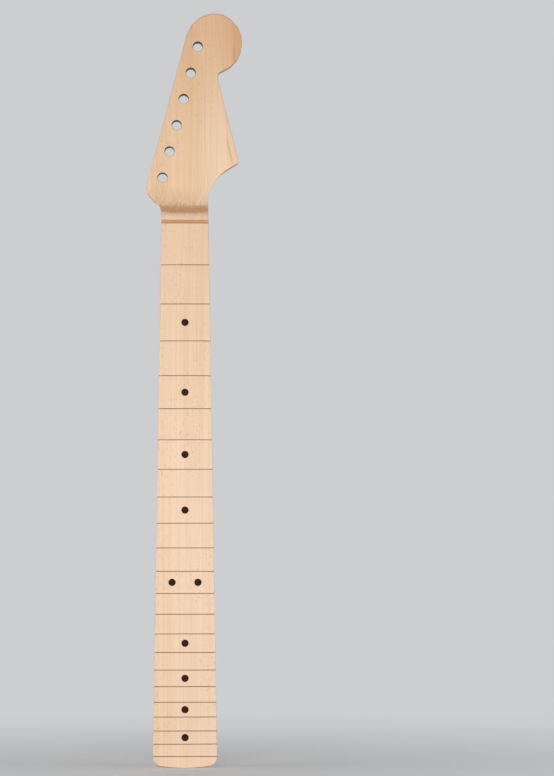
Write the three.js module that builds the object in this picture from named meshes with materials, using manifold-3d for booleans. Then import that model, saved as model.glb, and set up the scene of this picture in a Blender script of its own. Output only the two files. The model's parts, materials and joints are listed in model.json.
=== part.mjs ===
import * as THREE from 'three';
import { mergeVertices } from 'three/addons/utils/BufferGeometryUtils.js';
import Module from 'manifold-3d';

const wasm = await Module();
wasm.setup();

// A bare maple bolt-on neck for a six-string electric guitar, standing upright.
// Millimetres. +Z points up the neck to the headstock, the fretboard looks along -Y and
// the treble side is +X. The origin is the middle of the four neck screws, on the flat
// back of the heel.

// Lengths along the neck
const scaleLength = 647.7;
const fretCount = 22;
const octaveFrets = 12;
const heelEndPastLastFret = 3.955;
const boardOverhang = 6;
const landLength = 8.3;
const headLength = 186.5;

// Widths, depths and radii of the neck and the fretboard
const nutWidth = 41.3;
const lastFretWidth = 55.9;
const blankDepth = 25.4;
const boardDepth = 6.35;
const headThickness = 14.3;
const firstFretDepth = 21;
const octaveDepth = 23;
const boardRadiusAtNut = 254;
const boardRadiusAtEnd = 406.4;
const scoopRadius = 38.1;
const boardLip = 0.3;

// The curved end of the heel and of the fretboard
const endBowRadius = 125;
const endBowRise = 4.3;
const endCornerRadius = 8;
const nutBlendRadius = 60;

// Where the round back of the shaft runs out into the flat backs of headstock and heel
const headFlatStart = 0.5;
const headRampLength = 30;
const trebleFlatRise = 46;
const bassFlatRise = 19.5;
const heelFlatLength = 79.4;
const heelArchLength = 21;
const heelRampLength = 20;

// Corners of the headstock before rounding, as shares of its length: across from the
// middle of the neck, up from the nut, and the radius of the rounding. They run up the
// treble side and over the ball, then up again from the foot of the tuners' edge.
const ballCornerShares = [
  [0.1085, 0.1445, 0.07],
  [0.162, 0.238, 0.168],
  [0.255, 0.294, 0.015],
  [0.1595, 0.6715, 0.0095],
  [0.153, 0.718, 0.021],
  [0.251, 0.761, 0.1475],
  [0.2795, 0.901, 0.1335],
  [0.199, 0.995, 0.1195],
  [0.0755, 1.007, 0.1275],
  [0.0115, 0.9155, 0.1845],
];
const footCornerShares = [
  [-0.1875, 0.1575, 0.036],
  [-0.115, 0.0765, 0.055],
];

// Tuner holes, in a row along the straight edge of the headstock
const tunerCount = 6;
const tunerDiameter = 8.73;
const tunerSpacing = 24;
const tunerEdgeDistance = 12.25;
const firstTunerFromFoot = 16;

// Neck screws
const screwSetback = 15.9;
const screwPitchAlong = 50.8;
const screwPitchAcross = 38.1;
const pilotDiameter = 3.3;
const pilotDepth = 16;

// Slots and position dots
const nutSlotWidth = 3.3;
const nutSlotDepth = 2.6;
const fretSlotWidth = 0.58;
const fretSlotDepth = 3;
const dotFretNumbers = [3, 5, 7, 9, 12, 15, 17, 19, 21];
const faceDotDiameter = 6.35;
const faceDotDepth = 1.6;
const faceDotPairSpacing = 22.7;
const sideDotDiameter = 2;
const sideDotDepth = 3;
const sideDotPairSpacing = 8;

// Two-way truss rod in a channel under the fretboard, turned from the heel end
const trussTopFromNut = 6.7;
const trussWidth = 6;
const trussBlockLength = 12;
const trussBarDepth = 3;
const trussRodDiameter = 5;
const trussRodGap = 0.5;
const trussNutDiameter = 8.2;
const trussNutLength = 14;
const trussNutRecess = 6;
const trussNutBoreDepth = 5;
const keyAcrossFlats = 4;
const keyDepth = 7;
const accessDiameter = 9.6;

// Fits and cuts
const fitGap = 0.3;
const overrun = 1;

// Fineness of the faceted surfaces
const arcStep = Math.PI / 14;
const wallSteps = 5;
const crownSteps = 3;
const shoulderShare = 0.883;
const boardSteps = 8;
const roundSides = 24;
const smallSides = 12;
const hexSides = 6;
const shaftStation = 60;
const rampStation = 3;
const archStation = 1;
const scoopStation = 0.85;
const leastStation = 0.25;
const closedWidth = 0.001;

// Levels along Y
const backLevel = 0;
const playingLevel = -blankDepth;
const glueLevel = playingLevel + boardDepth;
const headFaceLevel = -headThickness;

// Heights along Z
const fretFromNut = (fret) => scaleLength * (1 - 2 ** (-fret / octaveFrets));
const heelEndFromNut = fretFromNut(fretCount) + heelEndPastLastFret;
const nutHeight = heelEndFromNut - screwSetback - screwPitchAlong / 2;
const heelEndHeight = nutHeight - heelEndFromNut;
const boardEndHeight = heelEndHeight - boardOverhang;
const landHeight = nutHeight + landLength;
const headFlatHeight = nutHeight + headFlatStart;
const heelSquareHeight = heelEndHeight + heelFlatLength;
const heelArchHeight = heelSquareHeight + heelArchLength;
const fretHeight = (fret) => nutHeight - fretFromNut(fret);
const dotHeight = (fret) => (fretHeight(fret - 1) + fretHeight(fret)) / 2;

const { clamp, lerp, mapLinear, smoothstep } = THREE.MathUtils;
const atLevel = (x, y) => new THREE.Vector2(x, y);

// Half the width of the tapered shaft at a height
function halfWidthAt(height) {
  const width = mapLinear(height, nutHeight, fretHeight(fretCount), nutWidth, lastFretWidth);
  return width / 2;
}

// The corners of the headstock, in the plane of its face
const headCorner = ([across, above, radius]) => ({
  at: atLevel(headLength * across, nutHeight + headLength * above),
  radius: headLength * radius,
});
const ballCorners = ballCornerShares.map(headCorner);
const footCorners = footCornerShares.map(headCorner);

// The corners of the whole outline, anticlockwise from the middle of the lower end
function outlineCorners(endHeight) {
  const endHalf = halfWidthAt(endHeight);
  const slope = Math.atan2(endBowRise, endHalf);
  const bowHeight = endHeight + endBowRadius - endBowRadius / Math.cos(slope);
  const sideHeight = bowHeight + endBowRise;
  return [
    { at: atLevel(0, bowHeight), radius: endBowRadius },
    { at: atLevel(endHalf, sideHeight), radius: endCornerRadius },
    { at: atLevel(nutWidth / 2, nutHeight), radius: nutBlendRadius },
    ...ballCorners,
    ...footCorners,
    { at: atLevel(-nutWidth / 2, nutHeight), radius: nutBlendRadius },
    { at: atLevel(-endHalf, sideHeight), radius: endCornerRadius },
  ];
}

// Puts an arc of its own radius, tangent to both edges, in place of each corner
function roundCorners(corners) {
  return corners.flatMap(({ at, radius }, i) => {
    const toBefore = corners.at(i - 1).at.clone().sub(at).normalize();
    const toAfter = corners.at((i + 1) % corners.length).at.clone().sub(at).normalize();
    const halfAngle = toBefore.angleTo(toAfter) / 2;
    const inward = toBefore.clone().add(toAfter).normalize();
    const centre = at.clone().addScaledVector(inward, radius / Math.sin(halfAngle));
    const start = at.clone().addScaledVector(toBefore, radius / Math.tan(halfAngle));
    const turn = Math.sign(toAfter.cross(toBefore)) * (Math.PI - 2 * halfAngle);
    const steps = 2 * Math.ceil(Math.abs(turn) / arcStep / 2);
    return Array.from({ length: steps + 1 }, (_, k) =>
      start.clone().rotateAround(centre, (turn * k) / steps));
  });
}

// Cuts an outline at its lowest and highest points into a treble and a bass edge
function splitEdges(points) {
  const heights = points.map((point) => point.y);
  const lowest = heights.indexOf(Math.min(...heights));
  const ring = [...points.slice(lowest), ...points.slice(0, lowest + 1)];
  const tip = ring.findIndex((point) => point.y === Math.max(...heights));
  return { treble: ring.slice(0, tip + 1), bass: ring.slice(tip).reverse() };
}

// How far across an edge lies at a height
function edgeAt(edge, height) {
  const above = clamp(edge.findIndex((point) => point.y >= height), 1, edge.length - 1);
  const [low, high] = [edge[above - 1], edge[above]];
  return mapLinear(height, low.y, high.y, low.x, high.x);
}

// Evenly spaced heights from low to high, both included
function spread(low, high, step) {
  const count = Math.ceil((high - low) / step);
  return Array.from({ length: count + 1 }, (_, i) => lerp(low, high, i / count));
}

// Sorted heights from low to high, without near repeats
function stations(low, high, marks) {
  const inside = marks.filter((mark) => mark > low + leastStation && mark < high - leastStation);
  const kept = [low];
  for (const mark of inside.sort((a, b) => a - b)) {
    if (mark > kept.at(-1) + leastStation) kept.push(mark);
  }
  return [...kept, high];
}

// The level of the curved ramp between the playing surface and the headstock face
const scoopDrop = headFaceLevel - playingLevel;
const scoopReach = (drop) => Math.sqrt(scoopRadius ** 2 - (scoopRadius - drop) ** 2);
const scoopFoot = landHeight + scoopReach(scoopDrop);
const scoopHeight = (level) => scoopFoot - scoopReach(headFaceLevel - level);
function scoopLevel(height) {
  const back = clamp(scoopFoot - height, 0, scoopReach(scoopDrop));
  return headFaceLevel - scoopRadius + Math.sqrt(scoopRadius ** 2 - back ** 2);
}

// The level of the highest line along the round back
function crestLevel(height) {
  const depth = mapLinear(height, fretHeight(1), fretHeight(octaveFrets), firstFretDepth, octaveDepth);
  const headShare = smoothstep(height, headFlatHeight - headRampLength, headFlatHeight);
  const heelShare = 1 - smoothstep(height, heelArchHeight, heelArchHeight + heelRampLength);
  return (depth - blankDepth) * (1 - headShare) * (1 - heelShare);
}

// The share of a side's width that the flat back takes up: it widens steadily on the
// headstock, and towards the heel as an arch with a drawn-out tip
function flatShareAt(height, rise) {
  const headShare = clamp((height - headFlatHeight) / rise, 0, 1);
  const archShare = 1 - (1 - clamp((height - heelSquareHeight) / heelArchLength, 0, 1)) ** 3;
  return Math.max(headShare, Math.sqrt(1 - archShare ** 2));
}

// One side of a cross-section of the neck, from its front edge to the middle of the back:
// an ellipse that the flat back cuts off
function neckSide(edge, middle, topLevel, crest, flatShare) {
  const fullDepth = backLevel - topLevel;
  const bow = flatShare > 0 ? fullDepth / Math.sqrt(1 - flatShare ** 2) : crest - topLevel;
  const wallDepth = Math.min(shoulderShare * bow, fullDepth);
  const shareAt = (depth) => Math.sqrt(1 - (depth / bow) ** 2);
  const wall = Array.from({ length: wallSteps + 1 }, (_, j) => {
    const depth = (wallDepth * j) / wallSteps;
    return atLevel(lerp(middle, edge, shareAt(depth)), topLevel + depth);
  });
  const crown = Array.from({ length: crownSteps }, (_, j) => {
    const share = shareAt(wallDepth) * (1 - (j + 1) / crownSteps);
    const level = Math.min(backLevel, topLevel + bow * Math.sqrt(1 - share ** 2));
    return atLevel(lerp(middle, edge, share), level);
  });
  return [...wall, ...crown];
}

function neckRing(edges, height) {
  const treble = edgeAt(edges.treble, height);
  const bass = edgeAt(edges.bass, height);
  const trebleShare = flatShareAt(height, trebleFlatRise);
  const bassShare = flatShareAt(height, bassFlatRise);
  const middle = Math.min(trebleShare, bassShare) < 1 ? 0 : (treble + bass) / 2;
  const topLevel = Math.max(glueLevel, scoopLevel(height));
  const crest = crestLevel(height);
  const trebleSide = neckSide(treble, middle, topLevel, crest, trebleShare);
  const bassSide = neckSide(bass, middle, topLevel, crest, bassShare);
  return [...trebleSide, ...bassSide.slice(0, -1).reverse()];
}

function boardRing(edges, height) {
  const treble = edgeAt(edges.treble, height);
  const bass = edgeAt(edges.bass, height);
  const top = Array.from({ length: boardSteps + 1 }, (_, j) => {
    const across = lerp(bass, treble, j / boardSteps);
    return atLevel(across, Math.max(crownLevel(across, height), scoopLevel(height)));
  });
  return [atLevel(bass, glueLevel), ...top, atLevel(treble, glueLevel)];
}

// The level of the playing surface, whose radius grows steadily from the nut to the end
function crownLevel(across, height) {
  const radius = mapLinear(height, nutHeight, boardEndHeight, boardRadiusAtNut, boardRadiusAtEnd);
  return playingLevel + radius - Math.sqrt(radius ** 2 - across ** 2);
}

// A closed skin over cross-sections from the lowest up. An end that has closed to a line
// needs no cap.
function loft(heights, ringAt) {
  const rings = heights.map(ringAt);
  const count = rings[0].length;
  const positions = rings.flatMap((ring, i) => ring.flatMap((p) => [p.x, p.y, heights[i]]));
  const index = [];
  for (let i = 0; i < rings.length - 1; i++) {
    for (let j = 0; j < count; j++) {
      const [a, b] = [i * count + j, i * count + ((j + 1) % count)];
      index.push(a, b, b + count, a, b + count, a + count);
    }
  }
  const isOpen = (ring) => ring.some((point) => Math.abs(point.x - ring[0].x) > closedWidth);
  const last = (rings.length - 1) * count;
  for (let j = 1; j < count - 1; j++) {
    if (isOpen(rings[0])) index.push(0, j + 1, j);
    if (isOpen(rings.at(-1))) index.push(last, last + j, last + j + 1);
  }
  const geometry = new THREE.BufferGeometry();
  geometry.setAttribute('position', new THREE.Float32BufferAttribute(positions, 3));
  geometry.setIndex(index);
  return geometry;
}

// A solid that can be cut, from a closed geometry
function solid(geometry) {
  const bare = geometry.clone();
  bare.deleteAttribute('normal');
  bare.deleteAttribute('uv');
  const merged = mergeVertices(bare);
  const corners = [...merged.index.array];
  const triVerts = [];
  for (let i = 0; i < corners.length; i += 3) {
    const [a, b, c] = corners.slice(i, i + 3);
    if (a !== b && b !== c && c !== a) triVerts.push(a, b, c);
  }
  return new wasm.Manifold(new wasm.Mesh({
    numProp: 3,
    vertProperties: merged.attributes.position.array,
    triVerts: new Uint32Array(triVerts),
  }));
}

function cut(body, cutters) {
  return cutters.reduce((rest, cutter) => rest.subtract(solid(cutter)), body);
}

function geometryOf(body) {
  const { vertProperties, triVerts } = body.getMesh();
  const indexed = new THREE.BufferGeometry();
  indexed.setAttribute('position', new THREE.BufferAttribute(vertProperties, 3));
  indexed.setIndex(new THREE.BufferAttribute(triVerts, 1));
  const geometry = indexed.toNonIndexed();
  geometry.computeVertexNormals();
  return geometry;
}

// A round bar from a start level down +Y
function roundBar(diameter, start, end, sides) {
  const bar = new THREE.CylinderGeometry(diameter / 2, diameter / 2, end - start, sides);
  return bar.translate(0, (start + end) / 2, 0);
}

// A round bar along +Z on the axis of the truss rod
function rodBar(diameter, low, high, sides) {
  return roundBar(diameter, low, high, sides).rotateX(Math.PI / 2).translate(0, rodLevel, 0);
}

// A box between two levels and two heights, centred across the neck
function bar(width, lowLevel, highLevel, low, high) {
  const box = new THREE.BoxGeometry(width, highLevel - lowLevel, high - low);
  return box.translate(0, (lowLevel + highLevel) / 2, (low + high) / 2);
}

const part = new THREE.Group();

function addPiece(name, geometry, material) {
  const piece = new THREE.Mesh(geometry, material);
  piece.name = name;
  part.add(piece);
  return piece;
}

const finish = (color, roughness, metalness) =>
  new THREE.MeshStandardMaterial({ color, roughness, metalness });

// The truss rod's places. Depths run back from the glue face, and the bar lies on top.
const barTop = glueLevel + fitGap;
const barBottom = barTop + trussBarDepth;
const rodLevel = barBottom + trussRodGap + trussRodDiameter / 2;
const blockBottom = rodLevel + trussRodDiameter / 2 + fitGap;
const channelFloor = blockBottom + fitGap;
const nutLow = heelEndHeight + trussNutRecess;
const nutHigh = nutLow + trussNutLength;
const heelBlockLow = nutHigh + fitGap;
const heelBlockHigh = heelBlockLow + trussBlockLength;
const trussTop = nutHeight - trussTopFromNut;
const headBlockLow = trussTop - trussBlockLength;
const accessTop = nutHigh + fitGap;

// Neck: one board of maple, with the channel, the key hole and the drilled holes
function neckHoles() {
  const channelWidth = trussWidth + 2 * fitGap;
  const channelLevel = glueLevel - overrun;
  const channel = bar(channelWidth, channelLevel, channelFloor, accessTop - overrun, trussTop + fitGap);
  const access = rodBar(accessDiameter, heelEndHeight - overrun, accessTop, roundSides);
  const foot = footCorners[0].at;
  const along = ballCorners.at(-1).at.clone().sub(foot).normalize();
  const inward = atLevel(along.y, -along.x);
  const tunerHoles = Array.from({ length: tunerCount }, (_, i) => {
    const place = foot.clone().addScaledVector(along, firstTunerFromFoot + i * tunerSpacing);
    place.addScaledVector(inward, tunerEdgeDistance);
    const hole = roundBar(tunerDiameter, headFaceLevel - overrun, backLevel + overrun, roundSides);
    return hole.translate(place.x, 0, place.y);
  });
  const pilotHoles = [-1, 1].flatMap((across) => [-1, 1].map((up) => {
    const hole = roundBar(pilotDiameter, backLevel - pilotDepth, backLevel + overrun, smallSides);
    return hole.translate((across * screwPitchAcross) / 2, 0, (up * screwPitchAlong) / 2);
  }));
  return [channel, access, ...tunerHoles, ...pilotHoles];
}

function neckGeometry() {
  const edges = splitEdges(roundCorners(outlineCorners(heelEndHeight)));
  const low = edges.treble[0].y;
  const tip = edges.treble.at(-1).y;
  const marks = [
    ...edges.treble.map((point) => point.y),
    ...edges.bass.map((point) => point.y),
    ...spread(low, tip, shaftStation),
    ...spread(heelSquareHeight, heelArchHeight, archStation),
    ...spread(heelArchHeight, heelArchHeight + heelRampLength, rampStation),
    ...spread(headFlatHeight - headRampLength, headFlatHeight + trebleFlatRise, rampStation),
    scoopHeight(glueLevel),
    ...spread(scoopHeight(glueLevel), scoopFoot, scoopStation),
  ];
  const heights = stations(low, tip, marks);
  return geometryOf(cut(solid(loft(heights, (height) => neckRing(edges, height))), neckHoles()));
}

// Fretboard: a maple slab with a curved top, slotted for the frets and the nut
function acrossSlot(depth, low, high) {
  return bar(lastFretWidth + 2 * overrun, playingLevel - overrun, playingLevel + depth, low, high);
}

function boardSlots() {
  const nutSlot = acrossSlot(nutSlotDepth, nutHeight, nutHeight + nutSlotWidth);
  const fretSlots = Array.from({ length: fretCount }, (_, i) => {
    const middle = fretHeight(i + 1);
    return acrossSlot(fretSlotDepth, middle - fretSlotWidth / 2, middle + fretSlotWidth / 2);
  });
  return [nutSlot, ...fretSlots];
}

// Every dot's name, place and turn: one on each marked fret, and a pair at the octave
function dotPlaces() {
  const octavePair = ['bass', 'treble'].map((side, i) => ({ side, share: i - 1 / 2 }));
  return dotFretNumbers.flatMap((fret) => {
    const copies = fret === octaveFrets ? octavePair : [{ side: '', share: 0 }];
    return copies.map(({ side, share }) => {
      const label = [String(fret).padStart(2, '0'), side].filter(Boolean).join('_');
      const height = dotHeight(fret);
      const across = share * faceDotPairSpacing;
      const sideHeight = height + share * sideDotPairSpacing;
      return { label, height, across, sideHeight };
    });
  });
}

function placeFaceDot(piece, { across, height }) {
  const radius = mapLinear(height, nutHeight, boardEndHeight, boardRadiusAtNut, boardRadiusAtEnd);
  piece.rotateZ(Math.asin(across / radius));
  return piece.translate(across, crownLevel(across, height), height);
}

function placeSideDot(piece, { sideHeight }) {
  const level = (glueLevel + crownLevel(halfWidthAt(sideHeight), sideHeight)) / 2;
  piece.rotateZ(-Math.PI / 2);
  return piece.translate(-halfWidthAt(sideHeight), level, sideHeight);
}

function boardGeometry() {
  const edges = splitEdges(roundCorners(outlineCorners(boardEndHeight)));
  const top = scoopHeight(glueLevel - boardLip);
  const marks = [
    ...edges.treble.map((point) => point.y),
    ...edges.bass.map((point) => point.y),
    ...spread(landHeight, top, scoopStation),
  ];
  const pockets = dotPlaces().flatMap((place) => [
    placeFaceDot(pocket(faceDotDiameter, faceDotDepth, roundSides), place),
    placeSideDot(pocket(sideDotDiameter, sideDotDepth, smallSides), place),
  ]);
  const heights = stations(edges.treble[0].y, top, marks);
  const slab = solid(loft(heights, (height) => boardRing(edges, height)));
  return geometryOf(cut(slab, [...boardSlots(), ...pockets]));
}

const pocket = (diameter, depth, sides) =>
  roundBar(diameter + 2 * fitGap, -overrun, depth + fitGap, sides);

// Truss rod: two blocks hold a flat bar and a round rod side by side. The round rod is
// threaded into both blocks and ends in a nut with a hexagon socket.
function blockGeometry(low, high) {
  const block = solid(bar(trussWidth, barTop, blockBottom, low, high));
  const boreDiameter = trussRodDiameter + fitGap;
  return geometryOf(cut(block, [rodBar(boreDiameter, low - overrun, high + overrun, roundSides)]));
}

function trussNutGeometry() {
  const socketDiameter = keyAcrossFlats / Math.cos(Math.PI / hexSides);
  const rodBoreDiameter = trussRodDiameter + 2 * fitGap;
  return geometryOf(cut(solid(rodBar(trussNutDiameter, nutLow, nutHigh, roundSides)), [
    rodBar(socketDiameter, nutLow - overrun, nutLow + keyDepth, hexSides),
    rodBar(rodBoreDiameter, nutHigh - trussNutBoreDepth, nutHigh + overrun, roundSides),
  ]));
}

const neckMaple = finish(0xe1bd9b, 0.55, 0);
const boardMaple = finish(0xf3d2b4, 0.55, 0);
const dotPlastic = finish(0x3a2823, 0.4, 0);
const barSteel = finish(0x8f9396, 0.4, 1);
const rodSteel = finish(0x7d8286, 0.35, 1);
const blockBrass = finish(0xb08d4c, 0.4, 1);

addPiece('neck', neckGeometry(), neckMaple);
addPiece('fretboard', boardGeometry(), boardMaple);
for (const place of dotPlaces()) {
  const faceDot = roundBar(faceDotDiameter, 0, faceDotDepth, roundSides);
  const sideDot = roundBar(sideDotDiameter, 0, sideDotDepth, smallSides);
  addPiece(`face_dot_${place.label}`, placeFaceDot(faceDot, place), dotPlastic);
  addPiece(`side_dot_${place.label}`, placeSideDot(sideDot, place), dotPlastic);
}
addPiece('truss_bar', bar(trussWidth, barTop, barBottom, heelBlockHigh, headBlockLow), barSteel);
addPiece('truss_block_head', blockGeometry(headBlockLow, trussTop), blockBrass);
addPiece('truss_block_heel', blockGeometry(heelBlockLow, heelBlockHigh), blockBrass);
addPiece('truss_rod', rodBar(trussRodDiameter, nutHigh - trussNutBoreDepth, trussTop, roundSides), rodSteel);
addPiece('truss_nut', trussNutGeometry(), rodSteel);

export default part;
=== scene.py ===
import json
import math

import bmesh
import bpy
import numpy as np
from mathutils import Matrix, Vector


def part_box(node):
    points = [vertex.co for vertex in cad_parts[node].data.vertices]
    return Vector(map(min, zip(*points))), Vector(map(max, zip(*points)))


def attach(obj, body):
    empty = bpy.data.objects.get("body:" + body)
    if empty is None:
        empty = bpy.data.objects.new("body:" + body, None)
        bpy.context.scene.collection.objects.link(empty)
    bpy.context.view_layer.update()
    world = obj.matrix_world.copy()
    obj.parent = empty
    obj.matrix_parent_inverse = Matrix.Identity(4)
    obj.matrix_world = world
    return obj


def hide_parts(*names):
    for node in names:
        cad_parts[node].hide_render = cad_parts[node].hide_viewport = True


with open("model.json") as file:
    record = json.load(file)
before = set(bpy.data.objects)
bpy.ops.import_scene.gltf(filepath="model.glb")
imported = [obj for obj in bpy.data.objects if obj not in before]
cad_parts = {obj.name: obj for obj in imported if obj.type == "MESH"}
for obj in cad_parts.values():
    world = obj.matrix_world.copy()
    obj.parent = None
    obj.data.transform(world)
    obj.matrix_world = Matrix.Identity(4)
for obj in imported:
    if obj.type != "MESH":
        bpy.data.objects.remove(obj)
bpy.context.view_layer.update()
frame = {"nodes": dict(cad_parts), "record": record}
mounts = {mount["name"]: mount["pos_m"] for mount in frame["record"]["mounts"]}


# The neck is one board of maple: headstock, shaft and heel. It is sawn to its outline, the
# face of the headstock is cut down with a round scoop below the fretboard, and the back is
# carved round and runs out into the flat backs of headstock and heel.
nut_slot_width = 0.0033
nut_width = 0.0413
last_fret_width = 0.0559
scale_length = 0.6477
octave_frets = 12
fret_count = 22
head_length = 0.1865
end_bow_radius = 0.125
end_bow_rise = 0.0043
end_corner_radius = 0.008
nut_blend_radius = 0.06
land_length = 0.0083
scoop_radius = 0.0381
first_fret_depth = 0.021
octave_depth = 0.023
head_flat_start = 0.0005
head_ramp_length = 0.03
treble_flat_rise = 0.046
bass_flat_rise = 0.0195
heel_flat_length = 0.0794
heel_arch_length = 0.021
heel_ramp_length = 0.02
head_corner_shares = [
    (0.1085, 0.1445, 0.07),
    (0.162, 0.238, 0.168),
    (0.255, 0.294, 0.015),
    (0.1595, 0.6715, 0.0095),
    (0.153, 0.718, 0.021),
    (0.251, 0.761, 0.1475),
    (0.2795, 0.901, 0.1335),
    (0.199, 0.995, 0.1195),
    (0.0755, 1.007, 0.1275),
    (0.0115, 0.9155, 0.1845),
    (-0.1875, 0.1575, 0.036),
    (-0.115, 0.0765, 0.055),
]

back_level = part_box("neck")[1].y
glue_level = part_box("fretboard")[1].y
playing_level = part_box("fretboard")[0].y
face_level = mounts["tuner_front"][1]
heel_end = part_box("neck")[0].z
board_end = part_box("fretboard")[0].z
nut_height = mounts["nut_slot"][2] - nut_slot_width / 2
land_height = nut_height + land_length
flat_head = nut_height + head_flat_start
square_height = heel_end + heel_flat_length
arch_height = square_height + heel_arch_length
arc_degrees = 1.0


def fret_height(fret):
    """Each fret leaves the share 1 / 2^(1/12) of the string that the fret before it left"""
    return nut_height - scale_length * (1 - 2 ** (-fret / octave_frets))


def half_width(height):
    """The shaft tapers evenly from its width at the nut to its width at the last fret"""
    below = (nut_height - height) / (nut_height - fret_height(fret_count))
    return (nut_width + (last_fret_width - nut_width) * below) / 2


def smooth(value, low, high):
    """Runs from 0 at low to 1 at high as 3t^2 - 2t^3"""
    t = np.clip((value - low) / (high - low), 0, 1)
    return t * t * (3 - 2 * t)


def arc_corner(before, at, after, radius):
    """An arc tangent to both edges of a corner. Its middle lies on the line that halves the
    corner, radius / sin(half the corner) away. Gives points and their outward normals."""
    toward, away = before - at, after - at
    toward, away = toward / np.linalg.norm(toward), away / np.linalg.norm(away)
    half = math.acos(np.clip(toward @ away, -1, 1)) / 2
    middle = at + (toward + away) / np.linalg.norm(toward + away) * radius / math.sin(half)
    side = math.copysign(1, away[0] * toward[1] - away[1] * toward[0])
    turn = side * (math.pi - 2 * half)
    steps = 2 * math.ceil(math.degrees(abs(turn)) / arc_degrees / 2)
    start = at + toward * radius / math.tan(half) - middle
    angle = np.linspace(0, turn, steps + 1)
    cos, sin = np.cos(angle), np.sin(angle)
    out = np.stack([start[0] * cos - start[1] * sin, start[0] * sin + start[1] * cos], 1)
    return np.hstack([middle + out, side * out / radius])


def edges(end_height):
    """The treble and the bass edge of the outline, each from its lowest point to the tip.
    Rows hold how far across, the height, and the outward normal across and up."""
    end_half = half_width(end_height)
    slope = math.atan2(end_bow_rise, end_half)
    bow_height = end_height + end_bow_radius - end_bow_radius / math.cos(slope)
    side_height = bow_height + end_bow_rise
    corners = np.array([
        (0, bow_height, end_bow_radius),
        (end_half, side_height, end_corner_radius),
        (nut_width / 2, nut_height, nut_blend_radius),
        *(head_length * np.array(head_corner_shares) + [0, nut_height, 0]),
        (-nut_width / 2, nut_height, nut_blend_radius),
        (-end_half, side_height, end_corner_radius),
    ])
    places, radii = corners[:, :2], corners[:, 2]
    neighbours = zip(np.roll(places, 1, 0), places, np.roll(places, -1, 0), radii)
    outline = np.vstack([arc_corner(*corner) for corner in neighbours])
    outline = np.roll(outline, -outline[:, 1].argmin(), 0)
    outline = np.vstack([outline, outline[:1]])
    tip = outline[:, 1].argmax()
    return outline[: tip + 1], outline[tip:][::-1]


def at_heights(edge, heights):
    """How far across an edge and its outward normal lie at each height, as three columns"""
    across, up, normal_x, normal_z = edge.T
    found = [np.interp(heights, up, values)[:, None] for values in (across, normal_x, normal_z)]
    length = np.hypot(found[1], found[2])
    return found[0], found[1] / length, found[2] / length


edge_stretch = 0.002
edge_bend = math.radians(5)
plain_step = 0.004


def turning_heights(edge):
    """Heights along an edge, one for every stretch of its length or every bend of its turn"""
    across, up, normal_x, normal_z = edge.T
    length = np.hypot(np.diff(across), np.diff(up)) / edge_stretch
    bend = np.hypot(np.diff(normal_x), np.diff(normal_z)) / edge_bend
    travelled = np.concatenate([[0], np.cumsum(length + bend)])
    return np.interp(np.arange(0, travelled[-1]), travelled, up)


def section_heights(treble, bass, top, *closer):
    """Heights of cross-sections from the lowest point of the edges to a top: where either edge
    turns, at even steps, and closer together where asked. No two are within 0.01 mm."""
    low = treble[0, 1]
    even = np.arange(low, top, plain_step)
    heights = np.concatenate([turning_heights(treble), turning_heights(bass), even, *closer])
    inside = heights[(heights > low) & (heights < top)]
    return np.concatenate([[low], np.unique(np.round(inside, 5)), [top]])


def scoop_reach(level):
    """How far from its foot the scoop stands at a level: sqrt(r^2 - (r - rise)^2)"""
    return math.sqrt(scoop_radius**2 - (scoop_radius + level - face_level) ** 2)


scoop_foot = land_height + scoop_reach(playing_level)


def scoop_level(height):
    """The round ramp: a circle that climbs from the headstock face past the playing surface"""
    back = np.clip(scoop_foot - height, 0, scoop_radius)
    return face_level - scoop_radius + np.sqrt(scoop_radius**2 - back**2)


def crest_level(height):
    """The highest line along the back: straight from the first to the twelfth fret, and eased
    into the flat backs at both ends"""
    along = (fret_height(1) - height) / (fret_height(1) - fret_height(octave_frets))
    depth = first_fret_depth + (octave_depth - first_fret_depth) * along
    head = smooth(height, flat_head - head_ramp_length, flat_head)
    heel = 1 - smooth(height, arch_height, arch_height + heel_ramp_length)
    return (depth + playing_level) * (1 - head) * (1 - heel)


def arch_share(height):
    """How far the heel's flat has given way to the round back: 1 - (1 - t)^3 of the way t"""
    t = np.clip((height - square_height) / heel_arch_length, 0, 1)
    return 1 - (1 - t) ** 3


def flat_share(height, rise):
    """The share of a side that the flat back takes: it widens steadily up the headstock, and
    towards the heel as an arch with a drawn-out tip"""
    head = np.clip((height - flat_head) / rise, 0, 1)
    return np.maximum(head, np.sqrt(1 - arch_share(height) ** 2))


def eased(start, corner, end, t):
    """A corner eased off: (1 - t)^2 of its start, 2t(1 - t) of the corner and t^2 of its end"""
    start, corner, end = start[:, None], corner[:, None], end[:, None]
    return (1 - t) ** 2 * start + 2 * t * (1 - t) * corner + t**2 * end


def points(across, level, height):
    """Stacks three arrays that may differ in shape into points"""
    return np.stack(np.broadcast_arrays(across, level, height), -1)


shaft_round = 0.00004
head_round = 0.0009
heel_round = 0.0006
rounding_share = 0.6
arch_ease = 0.0045
arch_ease_length = 0.007
least_share = 1e-4
wall_steps = 30
ease_steps = 5
face_steps = 16
eases = np.linspace(0, 1, ease_steps)[None, :, None]


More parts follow.
